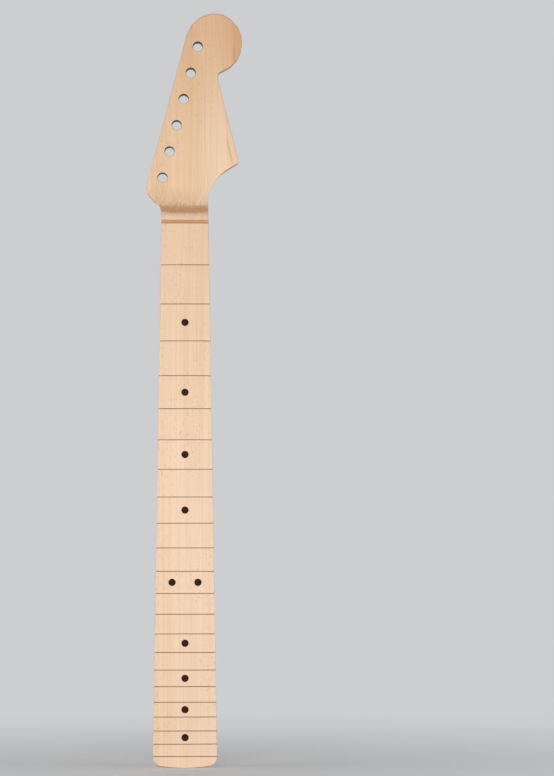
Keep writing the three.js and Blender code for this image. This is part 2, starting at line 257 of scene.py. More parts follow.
def neck_side(edge, heights, rise):
    """One side of the neck, row by row: the eased rim of its face, the wall, and the eased rim
    of its back. The wall is an ellipse, across = cos(a) and depth = sin(a), that the flat back
    cuts off."""
    across, normal_x, normal_z = at_heights(edge, heights)
    height = heights[:, None]
    top = np.maximum(glue_level, scoop_level(height))
    flat = np.minimum(flat_share(height, rise), 1)
    deep = np.where(flat > 0, back_level, crest_level(height)) - top
    bow = np.where(flat > 0, np.sqrt(1 - flat**2), 1) / deep
    leaves = smooth(height, scoop_foot - scoop_radius * rounding_share, scoop_foot)
    face_round = shaft_round + (head_round - shaft_round) * leaves
    on_head = smooth(height, nut_height, scoop_foot)
    back_round = (heel_round + (head_round - heel_round) * on_head) * flat
    start = np.arcsin(np.clip(bow * face_round, 0, 1))
    end = np.arcsin(np.clip(bow * (deep - back_round), 0, 1))
    share = np.linspace(0, 1, wall_steps)
    turn = start + (end - start) * share
    straight = face_round + (deep - back_round - face_round) * share
    depth = np.where(bow > 1, np.sin(turn) / np.maximum(bow, 1), straight)
    wall = points(across * np.cos(turn), top + depth, height)
    rim_height = height - normal_z * face_round
    rim_top = np.maximum(glue_level, scoop_level(rim_height))
    rim = points(across - normal_x * face_round, rim_top, rim_height)[:, 0]
    face_corner = points(across, top, height)[:, 0]
    back_corner = points(across * flat, top + deep, height)[:, 0]
    inside_x, inside_z = across * flat - normal_x * back_round, height - normal_z * back_round
    inside = points(inside_x, top + deep, inside_z)[:, 0]
    face_ease = eased(rim, face_corner, wall[:, 0], eases)[:, :-1]
    back_ease = eased(wall[:, -1], back_corner, inside, eases)[:, 1:]
    return np.concatenate([face_ease, wall, back_ease], 1)


def between(one, other, steps):
    """Points on the straight line from one column of points to another, ends left out"""
    share = np.linspace(0, 1, steps + 1)[None, 1:-1, None]
    return one[:, None] + (other - one)[:, None] * share


def neck_rings(treble_edge, bass_edge, heights):
    """The cross-sections of the neck, each a closed ring: face, treble side, back, bass side"""
    treble = neck_side(treble_edge, heights, treble_flat_rise)
    bass = neck_side(bass_edge, heights, bass_flat_rise)
    face = between(bass[:, 0], treble[:, 0], face_steps)
    face[..., 1] = np.maximum(glue_level, scoop_level(face[..., 2]))
    back = between(treble[:, -1], bass[:, -1], face_steps)
    return run_out(np.concatenate([face, treble, back, bass[:, ::-1]], 1))


def run_out(rings):
    """Rolls over the edge where the round back runs out into the flat of the heel. Where the
    ellipse and the flat differ by less than the ease, the back gives way by a quarter of
    ease * (1 - difference / ease)^2."""
    across, level, height = rings[..., 0], rings[..., 1], rings[..., 2]
    deep = np.where(height < arch_height, back_level, crest_level(height)) - glue_level
    arch = np.maximum(arch_share(height), least_share)
    bow = np.sqrt(np.clip(1 - (across / half_width(height)) ** 2, 0, 1))
    fades = 1 - smooth(height, arch_height, arch_height + heel_ramp_length)
    grows = smooth(height, square_height, square_height + arch_ease_length)
    ease = arch_ease * np.maximum(grows * fades, least_share)
    near = np.clip(1 - np.abs(deep / arch * bow - deep) / ease, 0, 1)
    rings[..., 1] = np.where(level > glue_level + deep / 2, level - ease / 4 * near**2, level)
    return rings


least_area = 1e-9


def ring_area(ring):
    """Half the length of the sum of the cross products of each point with the next"""
    return np.linalg.norm(np.cross(ring, np.roll(ring, -1, 0)).sum(0)) / 2


def skin(name, rings, finishes, finish_of=None):
    """A closed mesh over rings of points. Points that meet are merged, and an end that has not
    shrunk to a point or a line is closed by one flat face."""
    count, around = rings.shape[:2]
    row = np.arange(count - 1)[:, None] * around
    step = np.arange(around)
    ahead = (step + 1) % around
    faces = np.stack([row + step, row + ahead, row + ahead + around, row + step + around], -1)
    caps = []
    if ring_area(rings[0]) > least_area:
        caps.append(list(range(around))[::-1])
    if ring_area(rings[-1]) > least_area:
        caps.append(list(range((count - 1) * around, count * around)))
    mesh = bpy.data.meshes.new(name)
    mesh.from_pydata(rings.reshape(-1, 3).tolist(), [], faces.reshape(-1, 4).tolist() + caps)
    for finish in finishes:
        mesh.materials.append(finish)
    if finish_of is not None:
        chosen = np.concatenate([finish_of.reshape(-1), np.zeros(len(caps))]).astype(np.int32)
        mesh.polygons.foreach_set("material_index", chosen)
    return closed(name, mesh)


weld_distance = 2e-6
crease = math.radians(32)


def closed(name, mesh):
    """Merges points that meet, drops faces without area, turns all faces outwards and shades
    the mesh smooth up to its creases"""
    work = bmesh.new()
    work.from_mesh(mesh)
    bmesh.ops.remove_doubles(work, verts=work.verts, dist=weld_distance)
    bmesh.ops.dissolve_degenerate(work, edges=work.edges, dist=weld_distance)
    bmesh.ops.recalc_face_normals(work, faces=work.faces)
    work.to_mesh(mesh)
    work.free()
    mesh.shade_smooth()
    mesh.set_sharp_from_angle(angle=crease)
    made = bpy.data.objects.new(name, mesh)
    bpy.context.scene.collection.objects.link(made)
    return made


def turned(profile, middle, axis, sides):
    """A surface of revolution: a profile of (radius, place along the axis) turned about an axis
    through a middle point. The axis is 0, 1 or 2 for across, depth or height."""
    radius, along = np.array(profile, float).T[:, :, None]
    angle = np.linspace(0, 2 * math.pi, sides, endpoint=False)
    rings = points(along, radius * np.cos(angle), radius * np.sin(angle))
    return np.roll(rings, axis, -1) + np.array(middle, float)


def cut(piece, cutters):
    """Takes the cutters away from a piece. The cut faces keep the cutters' finish."""
    for cutter in cutters:
        modifier = piece.modifiers.new("cut", "BOOLEAN")
        modifier.operation = "DIFFERENCE"
        modifier.solver = "EXACT"
        modifier.material_mode = "TRANSFER"
        modifier.object = cutter
        shown = piece.evaluated_get(bpy.context.evaluated_depsgraph_get())
        piece.data = bpy.data.meshes.new_from_object(shown)
        piece.modifiers.clear()
        bpy.data.objects.remove(cutter)
    piece.data.shade_smooth()
    piece.data.set_sharp_from_angle(angle=crease)
    return piece


class Tone:
    """A number, vector or colour on its way through a finish. Arithmetic on it adds the Math
    nodes that work it out, and node adds any other node."""

    def __init__(self, tree, socket=None):
        self.tree = tree
        self.socket = socket

    def node(self, kind, settings=None, sockets=None, output=0):
        made = self.tree.nodes.new("ShaderNode" + kind)
        for name, value in (settings or {}).items():
            if name == "stops":
                self.set_stops(made.color_ramp, value)
            else:
                setattr(made, name, value)
        for name, value in (sockets or {}).items():
            if isinstance(value, Tone):
                self.tree.links.new(value.socket, made.inputs[name])
            else:
                made.inputs[name].default_value = value
        return Tone(self.tree, made.outputs[output])

    def set_stops(self, ramp, stops):
        while len(ramp.elements) < len(stops):
            ramp.elements.new(1)
        for element, (place, value) in zip(ramp.elements, stops):
            element.position = place
            element.color = (value, value, value, 1)

    def math(self, operation, *others):
        return self.node("Math", {"operation": operation}, dict(enumerate([self, *others])))

    def turned_math(self, operation, other):
        return self.node("Math", {"operation": operation}, {0: other, 1: self})

    def __add__(self, other):
        return self.math("ADD", other)

    def __sub__(self, other):
        return self.math("SUBTRACT", other)

    def __rsub__(self, other):
        return self.turned_math("SUBTRACT", other)

    def __mul__(self, other):
        return self.math("MULTIPLY", other)

    __radd__ = __add__
    __rmul__ = __mul__

    def __truediv__(self, other):
        return self.math("DIVIDE", other)

    def __rtruediv__(self, other):
        return self.turned_math("DIVIDE", other)

    def __pow__(self, other):
        return self.math("POWER", other)

    def __abs__(self):
        return self.math("ABSOLUTE")

    def over(self, low, high):
        """Runs smoothly from 0 at low to 1 at high, or from 1 to 0 where high comes first"""
        first, last = (0, 1) if low < high else (1, 0)
        limits = {"From Min": min(low, high), "From Max": max(low, high)}
        limits |= {"To Min": first, "To Max": last, "Value": self}
        return self.node("MapRange", {"interpolation_type": "SMOOTHSTEP"}, limits)

    def vector(self, across, level, height):
        return self.node("CombineXYZ", {}, {0: across, 1: level, 2: height})

    def noise(self, place, detail=2.0, rough=0.5):
        sockets = {"Vector": place, "Scale": 1.0, "Detail": detail, "Roughness": rough}
        return self.node("TexNoise", {}, sockets)

    def mix(self, mask, one, other):
        """The colour one where the mask is 0 and the other where it is 1"""
        return self.node("Mix", {"data_type": "RGBA"}, {0: mask, 6: one, 7: other}, 2)

    def tinted(self, tints):
        """Lays tints over this colour one after another, each where its mask is 1"""
        colour = self
        for mask, tint in tints:
            colour = self.mix(mask, colour, tint)
        return colour


def paint(red, green, blue):
    """A colour as it is read off a colour chart, 0 to 255, made linear for the shader"""
    chart = np.array([red, green, blue]) / 255
    dark, light = chart / 12.92, ((chart + 0.055) / 1.055) ** 2.4
    return (*np.where(chart <= 0.04045, dark, light).tolist(), 1)


class Finish:
    """A material with one principled shader and the place of a point in millimetres"""

    def __init__(self, name, fixed):
        self.material = bpy.data.materials.new(name)
        self.material.use_nodes = True
        self.tree = self.material.node_tree
        self.shader = self.tree.nodes["Principled BSDF"]
        for socket, value in fixed.items():
            self.shader.inputs[socket].default_value = value
        self.tone = Tone(self.tree)
        metres = self.tone.node("TexCoord", output=3)
        scaled = {0: metres, "Scale": 1000}
        self.place = self.tone.node("VectorMath", {"operation": "SCALE"}, scaled)
        parts = (self.tone.node("SeparateXYZ", {}, {0: self.place}, i) for i in range(3))
        self.x, self.y, self.z = parts

    def noise(self, steps, shift=(0, 0, 0), detail=2.0, rough=0.5):
        """Noise with so many steps to the millimetre across, in depth and up"""
        sockets = {0: self.place, 1: steps, 2: shift}
        place = self.tone.node("VectorMath", {"operation": "MULTIPLY_ADD"}, sockets)
        return self.tone.noise(place, detail, rough)

    def feed(self, socket, tone):
        """Links what changes over the surface to the shader"""
        self.tree.links.new(tone.socket, self.shader.inputs[socket])

    def relief(self, height, strength, depth):
        """Raises the surface by a height from 0 to 1, seen as bumps that deep"""
        sockets = {"Strength": strength, "Distance": depth, "Height": height}
        self.feed("Normal", self.tone.node("Bump", {}, sockets))


late_wood = [(0, 0), (0.5, 0.12), (0.88, 1), (0.96, 0.7), (1, 0)]
end_grain = paint(202, 146, 95)


def maple(finish, line, pith, lean, pale, warm, ring_width):
    """Bare maple. The growth rings are circles about a pith that lies outside the board and
    leans along it, so they show as straight lines, and as arches where the surface runs along
    them. Between them run fine fibre lines, and rays show as short flecks. Cut across, the
    fibres end in a darker surface, which is sanded paler on the shoulders of the heel. Gives
    the colour and its patches."""
    x, y, z, tone = finish.x, finish.y, finish.z, finish.tone
    drift = finish.noise((0.011, 0.011, 0.0042), detail=1.5) - 0.5
    sway = finish.noise((0.02, 0.02, 0.009), (9, 0, 0), detail=1.0) - 0.5
    across = x - (z * lean[0] + pith[0]) + sway * 5
    depth = y - (z * lean[1] + pith[1]) + drift * 9
    radius = (across * across + depth * depth) ** 0.5
    uneven = tone.noise(tone.vector(radius * 0.21, 3.7, z * 0.002), detail=1.0) * 1.6
    count = radius / ring_width + uneven
    part = count.math("FRACT")
    luck = tone.node("TexWhiteNoise", {"noise_dimensions": "1D"}, {"W": count.math("FLOOR")})
    late = tone.node("ValToRGB", {"stops": late_wood}, {0: part})
    rings = late * (luck**5 * 0.75 + 0.1) * (y.over(-20, -5) * 0.65 + 0.35)

    thread = finish.noise((0.75, 0.75, 0.005), (4, 0, 0), detail=2.5, rough=0.6)
    fibre = finish.noise((2.8, 2.8, 0.045), detail=3.0, rough=0.65)
    belt = tone.noise(tone.vector(radius * 0.13, 1.3, z * 0.0035 + 7), detail=1.5)
    patch = finish.noise((0.03, 0.03, 0.012), (0, 0, 2), detail=1.0)
    arc = across.math("ARCTAN2", depth) * 110
    ray = tone.noise(tone.vector(arc * 1.1, radius * 0.2, z * 0.34), detail=1.0).over(0.6, 0.72)
    flecks = ray * patch.over(0.38, 0.6)

    facing = tone.node("NewGeometry", output=1)
    sideways, end_up = (abs(tone.node("SeparateXYZ", {}, {0: facing}, i)) for i in (0, 2))
    frayed = end_up + (thread - 0.5) * 0.3 + (fibre - 0.5) * 0.15
    wall = sideways.over(0.15, 0.5)
    cut_across = frayed.over(0.42, 0.58) * (1 - wall) + frayed.over(0.25, 0.9) * wall
    shoulder = z.over(28, 34) * z.over(80, 65)
    seam = abs(y - glue_level * 1000).over(0.08, 0.03)
    finish.feed("Roughness", fibre * 0.18 + rings * 0.08 + 0.5)
    finish.relief(fibre * 0.7 + ray * 0.3, 0.22, 0.00012)
    colour = tone.mix(belt.over(0.34, 0.68), pale, warm).tinted([
        (rings * 0.3, line),
        (thread.over(0.4, 0.66) * 0.14, line),
        (fibre.over(0.45, 0.8) * 0.16, line),
        (flecks * 0.3, line),
        (cut_across * (0.75 - shoulder * 0.62), end_grain),
        (seam * 0.5, end_grain),
    ])
    return colour, patch


neck_wood = {"pith": (62, -112), "lean": (-0.012, 0.02), "ring_width": 1.55}
neck_wood |= {"pale": paint(244, 213, 181), "warm": paint(237, 200, 163)}
neck_line_and_shade = paint(188, 140, 98)
neck_stain_and_shade = paint(212, 162, 118)
neck_vein_and_shade = paint(186, 126, 80)
neck_sap_and_painted_light = paint(255, 232, 206)
burnt = paint(66, 30, 10)
mark_height = -1.5
ring_radius = 15.4
thin_ring_radius = 13.0
star_points = 8
star_reach = 12.2
star_notch = 4.6
stem_across = 20.2
stem_end = 17.5
leaf_pitch = 4.4
leaf_middle = 2.1
leaf_half_length = 1.9
leaf_half_width = 1.2
band_height = 24.5
band_end = 15.2
rule_rise = 3.4
lozenge_pitch = 3.6
lozenge_end = 12.8


def burnt_mark(finish):
    """The mark burnt into the heel: an eight-pointed star in a double ring, a leafy stem at
    either side, and a row of lozenges between two lines above and below. Gives 1 on the mark
    and 0 off it, and the same for the wood scorched around it."""
    x, tone = finish.x, finish.tone
    up = finish.z - mark_height
    radius = (x * x + up * up) ** 0.5
    angle = up.math("ARCTAN2", x)
    ring = abs(radius - ring_radius).over(1.1, 0.85)
    thin_ring = abs(radius - thin_ring_radius).over(0.7, 0.45)
    slice_angle = 2 * math.pi / star_points
    half = slice_angle / 2
    swing = (angle / slice_angle + 0.5).math("FRACT") - 0.5
    fold = abs(swing) * slice_angle
    rise = star_notch * math.sin(half)
    run = star_reach - star_notch * math.cos(half)
    edge = radius * (fold.math("COSINE") * rise + fold.math("SINE") * run) / (star_reach * rise)
    star = edge.over(1.03, 0.97)
    core = edge.over(0.86, 0.8)
    side = swing.over(-0.02, 0.02)
    rose = star * (1 - core * side)
    hub = radius.over(1.9, 1.7)

    reach = abs(abs(x) - stem_across)
    stem = reach.over(0.75, 0.5) * abs(up).over(stem_end, stem_end - 0.3)
    sprout = up - reach * 0.9
    step = (sprout / leaf_pitch).math("FRACT") - 0.5
    leaf_up = step * leaf_pitch / leaf_half_width
    leaf_out = (reach - leaf_middle) / leaf_half_length
    leaf = (leaf_up * leaf_up + leaf_out * leaf_out).over(1.1, 0.85)
    leaf = leaf * abs(sprout).over(stem_end + 0.2, stem_end)

    level = abs(abs(up) - band_height)
    rules = abs(level - rule_rise).over(0.9, 0.65) * abs(x).over(band_end, band_end - 0.2)
    beat = abs((x / lozenge_pitch + 0.5).math("FRACT") - 0.5) * lozenge_pitch
    lozenge = (beat / 1.7 + level / 2.5).over(1.05, 0.9)
    lozenge = lozenge * abs(x).over(lozenge_end, lozenge_end - 0.2)

    whole = ring
    for shape in (thin_ring, rose, hub, stem, leaf, rules, lozenge):
        whole = whole.math("MAXIMUM", shape)
    on_flat = finish.y.over(-0.35, -0.15)
    blotch = tone.noise(tone.vector(x * 0.9, 0.0, up * 0.35), detail=3.0).over(0.25, 0.5)
    scorched = (radius * 0.04).over(1.35, 0.4) * on_flat
    return whole * on_flat * (blotch * 0.1 + 0.9), scorched


vein_fade = 4


def vein(finish, low, high, through, width):
    """A line in the grain between two heights, through a place across at its foot, its middle
    and its top: the curve first + slope t + bend t^2 of the share t of the way. 1 on it and 0
    off it."""
    first, middle, last = through
    t = (finish.z - low) / (high - low)
    bend = 2 * first - 4 * middle + 2 * last
    slope = 4 * middle - 3 * first - last
    across = (t * bend + slope) * t + first
    fade = min(vein_fade, (high - low) / 4)
    ends = finish.z.over(low - fade, low + fade) * finish.z.over(high + fade, high - fade)
    return abs(finish.x - across).over(width, 0.1) * ends


def arch_vein(finish, peak, spreads, length, width):
    """An arch in the grain: its two legs leave the peak by a spread times the square root of
    the drop below it"""
    drop = peak[1] - finish.z
    root = drop.math("MAXIMUM", 0) ** 0.5
    legs = [abs(finish.x - peak[0] - root * spread).over(width, 0.1) for spread in spreads]
    arch = legs[0].math("MAXIMUM", legs[1])
    return arch * drop.over(-0.5, 1.0) * drop.over(length, length * 0.6)


def neck_finish():
    """The neck's maple: darker heartwood along the bass side, and beside it on the back a paler
    tone towards the heel, partly sapwood and partly painted light for the light falling off
    towards the headstock. A brown stain at the ball; the headstock's face more brown towards
    its top, partly a warmer tone and partly painted shade; painted shade towards the treble
    edge of the back, and a brown strip of painted shade on the bass side of the back below the
    headstock. Single veins in the grain, and the burnt mark"""
    finish = Finish("neck_maple", {"Specular IOR Level": 0.2})
    colour, patch = maple(finish, neck_line_and_shade, **neck_wood)
    x, z = finish.x, finish.z
    wander = finish.noise((0.05, 0.05, 0.012)) - 0.5
    below_arch = z.over(322, 302) * 4.2 + z.over(302, 240) * 2.5
    heart_edge = x + wander * 7 + 7.5 + below_arch + z.over(140, 30) * 2 + z.over(60, 25) * 30
    heart = heart_edge.over(3.0, -3.0) * (patch * 0.5 + 0.6)
    on_back = finish.y.over(-13.5, -11.0)
    on_front = 1 - on_back
    knot = x.over(40, 43.5) * z.over(563, 572)
    # Painted shade: the back darkens towards its treble edge along the shaft, where its round
    # turns away from the light
    painted_treble_shade = x.over(7, 19) * on_back * z.over(40, 60) * z.over(470, 450)
    # Painted shade: a brown strip on the bass side of the back just below the headstock, carrying
    # on the shaded wall and side
    painted_flank_shade = x.over(-11.5, -14.5) * z.over(372, 400) * z.over(452, 440) * on_back
    mark, scorched = burnt_mark(finish)
    tints = [
        (heart * (on_back * 0.38 + 0.17), neck_stain_and_shade),
        (knot * 0.5, neck_stain_and_shade),
        # The headstock's face turns more brown towards its top: partly a warmer tone of the wood,
        # partly painted shade for the light falling off there
        (z.over(480, 610) * on_front * 0.42, neck_stain_and_shade),
        # Paler towards the heel on the back: partly sapwood, partly painted light for the light
        # falling off towards the headstock
        (z.over(440, 200) * on_back * (1 - heart) * 0.5, neck_sap_and_painted_light),
        # painted shade towards the treble edge of the back
        (painted_treble_shade * 0.14, neck_line_and_shade),
        # painted shade on the bass side of the back below the headstock
        (painted_flank_shade * (patch * 0.3 + 0.2), neck_vein_and_shade),
    ]
    back_veins = [
        (vein(finish, 386, 426, (-7.2, -7.4, -7.7), 0.75), 0.3),
        (vein(finish, 363, 434, (-17.4, -15.0, -15.9), 2.2), 0.48),
        (arch_vein(finish, (-11.4, 313.4), (1.3, -0.46), 60, 1.0), 0.6),
        (vein(finish, 200, 290, (-17.3, -16.2, -14.0), 1.2), 0.45),
        (vein(finish, 60, 262, (-0.2, 1.2, -3.3), 1.0), 0.2),
        (vein(finish, 80, 131, (-22.8, -17.4, -13.9), 1.3), 0.45),
        (arch_vein(finish, (-19.0, 60.0), (3.0, -3.0), 7, 1.2), 0.25),
        (vein(finish, 509.5, 524.5, (31.2, 24.5, 17.7), 1.2), 0.3),
    ]
    front_veins = [
        (vein(finish, 571, 586, (44.0, 43.4, 43.6), 0.6), 0.5),
        (vein(finish, 484, 504, (41.7, 39.2, 37.1), 1.3), 0.4),
    ]
    tints += [(line * on_back * strength, neck_vein_and_shade) for line, strength in back_veins]
    tints += [(line * on_front * strength, neck_vein_and_shade) for line, strength in front_veins]
    tints += [(scorched * 0.1, neck_line_and_shade), (mark, burnt)]
    finish.feed("Base Color", colour.tinted(tints))
    return finish.material


def bored_maple_finish(name, light, dark):
    """Maple inside a drilled or sawn hole: a light and a dark brown mixed in patches, with fine
    relief
    """
    finish = Finish(name, {"Specular IOR Level": 0.3, "Roughness": 0.6})
    rub = finish.noise((1.4, 5, 1.4), detail=3.0)
    finish.feed("Base Color", finish.tone.mix(rub.over(0.3, 0.7), light, dark))
    finish.relief(rub, 0.2, 0.0001)
    return finish.material


bored_maple = bored_maple_finish("bored_maple", paint(124, 84, 55), paint(84, 54, 35))
tuner_diameter = 0.00873
tuner_lip = 0.0002
pilot_diameter = 0.0033
pilot_depth = 0.016
screw_pitch_along = 0.0508
screw_pitch_across = 0.0381
access_diameter = 0.0096
channel_gap = 0.0003
pilot_flare = 1.25
overrun = 0.001
hole_sides = 72
pilot_sides = 48
lip_steps = 5


def square_ended(radius, start, end):
    """The profile of a round hole or disc with square ends"""
    return [(0, start), (radius, start), (radius, end), (0, end)]


def lipped(radius, start, end, lip):
    """The profile of a hole whose two mouths flare out as quarter circles of the lip's radius"""
    turn = np.linspace(0, math.pi / 2, lip_steps)
    reach, rise = radius + lip * (1 - np.cos(turn)), lip * np.sin(turn)
    low = np.stack([reach, start + lip - rise], 1)[::-1]
    high = np.stack([reach, end - lip + rise], 1)
    ends = square_ended(radius + lip, start - overrun, end + overrun)
    return np.concatenate([ends[:2], low, high, ends[2:]])


def bored(name, profile, middle, axis, sides=hole_sides):
    return skin(name, turned(profile, middle, axis, sides), [bored_maple])


def box_rings(low, high):
    """A box as two rings of four corners, at its foot and at its top"""
    across, level = np.where([[0, 0], [1, 0], [1, 1], [0, 1]], high[:2], low[:2]).T
    return points(across, level, [[low[2]], [high[2]]])


def middle_of(node):
    low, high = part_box(node)
    return (low + high) / 2


def neck_cutters():
    """What is taken out of the neck: six tuner holes, four pilot holes with a flared mouth and
    a pointed bottom, the hole to the nut in the heel's end, and the channel of the truss rod"""
    cutters = []
    for room in frame["record"]["physics"]["openings"]:
        name, (low, high) = room["name"], room["box_m"]
        if name.startswith("tuner") and name[-1].isdigit():
            middle = ((low[0] + high[0]) / 2, 0, (low[2] + high[2]) / 2)
            profile = lipped(tuner_diameter / 2, face_level, back_level, tuner_lip)
            cutters.append(bored(name, profile, middle, 1))
    radius = pilot_diameter / 2
    mouth = radius * pilot_flare
    profile = [(0, -pilot_depth - radius), (radius, -pilot_depth), (radius, -radius / 3)]
    profile += [(mouth, 0), (mouth, overrun), (0, overrun)]
    for across in (-1, 1):
        for up in (-1, 1):
            middle = (across * screw_pitch_across / 2, back_level, up * screw_pitch_along / 2)
            cutters.append(bored("pilot", profile, middle, 1, pilot_sides))
    block_low, block_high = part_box("truss_block_head")
    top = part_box("truss_nut")[1].z + channel_gap
    profile = square_ended(access_diameter / 2, heel_end - overrun, top)
    cutters.append(bored("access", profile, (0, middle_of("truss_rod").y, 0), 2))
    low = (block_low.x - channel_gap, glue_level - overrun, top - overrun)
    high = (block_high.x + channel_gap, block_high.y + channel_gap, block_high.z + channel_gap)
    cutters.append(skin("channel", box_rings(low, high), [bored_maple]))
    return cutters


def stand_for(piece, node, body):
    """The piece is shown for a node and moves with a body"""
    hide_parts(node)
    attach(piece, body)


arch_step = 0.0005
head_step = 0.001
arch_rows = np.arange(square_height - 0.001, arch_height + 0.01, arch_step)
head_rows = np.arange(nut_height - 0.03, scoop_foot + 0.02, head_step)
neck_edges = edges(heel_end)
neck_heights = section_heights(*neck_edges, neck_edges[0][-1, 1], arch_rows, head_rows)
carved_rings = neck_rings(*neck_edges, neck_heights)
neck = skin("carved_neck", carved_rings, [neck_finish(), bored_maple])
stand_for(cut(neck, neck_cutters()), "neck", "neck")


# The truss rod lies in a channel under the fretboard: a flat steel bar over a round steel rod,
# held side by side by a brass block at either end. The rod is threaded into both blocks, and
# a round nut with a hexagon socket turns it from the heel end.
rod_radius = (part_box("truss_rod")[1].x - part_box("truss_rod")[0].x) / 2
thread_pitch = 0.0008
thread_depth = 0.00045
thread_steps = 8
nut_edge = 0.0006
key_across_flats = 0.004
key_depth = 0.007
key_flare = 1.12
key_ease = 0.6
bore_ease = 0.4
rod_bore_depth = 0.005
cone_depth = 0.0008
rod_chamfer = 0.0005
thread_start = 0.0004
thread_full = 0.001
thread_end = 0.003
shank_end = 0.004
shank_steps = 80
rod_sides = 40
nut_sides = 96
block_edge = 0.0004
edge_share = 0.3
bar_sides = 32
drill_sides = 48


def metal_finish(name, light, dark, rough, streak):
    """Metal with faint marks of drawing or turning, rubbed lighter and duller in patches"""
    finish = Finish(name, {"Metallic": 1.0})
    drawn = finish.noise((6, 6, streak), detail=3.0)
    rubbed = finish.noise((0.4, 0.4, 0.15))
    finish.feed("Base Color", finish.tone.mix(drawn * 0.5 + rubbed * 0.5, light, dark))
    finish.feed("Roughness", drawn * 0.25 + rough)
    finish.relief(drawn, 0.15, 0.00005)
    return finish.material


rod_steel = metal_finish("rod_steel", paint(160, 164, 168), paint(112, 116, 120), 0.22, 0.6)
bar_steel = metal_finish("bar_steel", paint(150, 153, 156), paint(98, 100, 104), 0.3, 0.2)
block_brass = metal_finish("block_brass", paint(206, 172, 104), paint(168, 130, 70), 0.25, 6)


def threaded_rod():
    """A rod of even radius whose ends carry a screw thread: there the radius swings in and out
    by half the depth once for each pitch along and once round"""
    low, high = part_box("truss_rod")
    head_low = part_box("truss_block_head")[0].z
    heel_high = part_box("truss_block_heel")[1].z
    step = thread_pitch / thread_steps
    height = np.concatenate([
        np.arange(low.z, heel_high + thread_end, step),
        np.linspace(heel_high + shank_end, head_low - shank_end, shank_steps),
        np.arange(head_low - thread_end, high.z, step),
    ])[:, None]
    angle = np.linspace(0, 2 * math.pi, rod_sides, endpoint=False)
    heel_thread = smooth(height, heel_high + thread_end, heel_high + thread_full)
    head_thread = smooth(height, head_low - thread_end, head_low - thread_full)
    cut_in = np.where(height < low.z + thread_start, 0, heel_thread + head_thread)
    phase = 2 * math.pi * height / thread_pitch - angle
    reach = rod_radius - cut_in * thread_depth * (0.5 - 0.5 * np.cos(phase))
    to_end = np.minimum(height - low.z, high.z - height)
    reach = reach - (rod_chamfer - np.minimum(to_end, rod_chamfer))
    level = reach * np.sin(angle) + middle_of("truss_rod").y
    return skin("threaded_rod", points(reach * np.cos(angle), level, height), [rod_steel])


def socket_nut():
    """A turned barrel with a hexagon socket in its lower end and a round bore in its upper end.
    The socket's wall lies at half its width over the cosine of the angle from a flat's middle."""
    low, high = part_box("truss_nut")
    radius = (high.x - low.x) / 2
    bore = rod_radius + channel_gap
    ease = nut_edge * edge_share
    angle = np.linspace(0, 2 * math.pi, nut_sides, endpoint=False)
    wedge = (angle + math.pi / 6) % (math.pi / 3) - math.pi / 6
    hexagon = key_across_flats / 2 / np.cos(wedge)
    path = [
        (0, low.z + key_depth + cone_depth),
        (hexagon, low.z + key_depth),
        (hexagon, low.z + nut_edge * key_ease),
        (hexagon * key_flare, low.z),
        (radius - nut_edge, low.z),
        (radius - ease, low.z + ease),
        (radius, low.z + nut_edge),
        (radius, high.z - nut_edge),
        (radius - ease, high.z - ease),
        (radius - nut_edge, high.z),
        (bore + nut_edge * bore_ease, high.z),
        (bore, high.z - nut_edge * bore_ease),
        (bore, high.z - rod_bore_depth),
        (0, high.z - rod_bore_depth - cone_depth),
    ]
    reach = np.stack(np.broadcast_arrays(*[row for row, _ in path]))
    height = np.array([place for _, place in path])[:, None]
    rings = points(reach * np.cos(angle), reach * np.sin(angle) + middle_of("truss_nut").y, height)
    return skin("socket_nut", rings, [rod_steel])


def eased_box(name, node, edge, finish):
    """A bar whose long edges and ends are eased: rings of a rounded rectangle that shrink by
    the edge at both ends"""
    low, high = (np.array(corner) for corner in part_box(node))
    half, middle = (high - low) / 2, (high + low) / 2
    turn = np.linspace(0, 2 * math.pi, bar_sides, endpoint=False) + math.pi / bar_sides
    cos, sin = np.cos(turn), np.sin(turn)
    inward = edge * np.array([0, edge_share, 1])
    height = np.concatenate([low[2] + inward, high[2] - inward[::-1]])[:, None]
    pulled = (edge - np.concatenate([inward, inward[::-1]])[:, None]) / 2
    across = np.sign(cos) * (half[0] - edge - pulled) + cos * (edge - pulled)
    level = np.sign(sin) * (half[1] - edge - pulled) + sin * (edge - pulled)
    return skin(name, points(across + middle[0], level + middle[1], height), [finish])


def drilled_block(name, node):
    """A brass block with rounded edges, drilled through along the rod"""
    block = eased_box(name, node, block_edge, block_brass)
    low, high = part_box(node)
    profile = square_ended(rod_radius + channel_gap / 2, low.z - overrun, high.z + overrun)
    drill = turned(profile, (0, middle_of("truss_rod").y, 0), 2, drill_sides)
    return cut(block, [skin("drill", drill, [block_brass])])


stand_for(threaded_rod(), "truss_rod", "truss_adjuster")
stand_for(socket_nut(), "truss_nut", "truss_adjuster")
flat_bar = eased_box("flat_bar", "truss_bar", block_edge, bar_steel)
stand_for(flat_bar, "truss_bar", "neck")
for end in ("head", "heel"):
    node = f"truss_block_{end}"
    stand_for(drilled_block(f"{end}_block", node), node, "neck")


# The fretboard is a second board of maple, glued over the channel. Its top is sanded to a
# radius that grows towards the heel, and it is sawn across for 22 frets and for the nut.
radius_at_nut = 0.254
radius_at_end = 0.4064
board_roll = 0.0005
thin_roll = 0.45
thin_foot = 0.25
feather_edge = 0.00003
land_ease = 0.003
nut_slot_depth = 0.0026
fret_slot_width = 0.00058
fret_slot_depth = 0.003
board_steps = 44
side_steps = 5
brow_step = 0.0001
brow_reach = 0.001
ramp_step = 0.0004
slot_clearance = 0.0002
edge_spare = 0.03


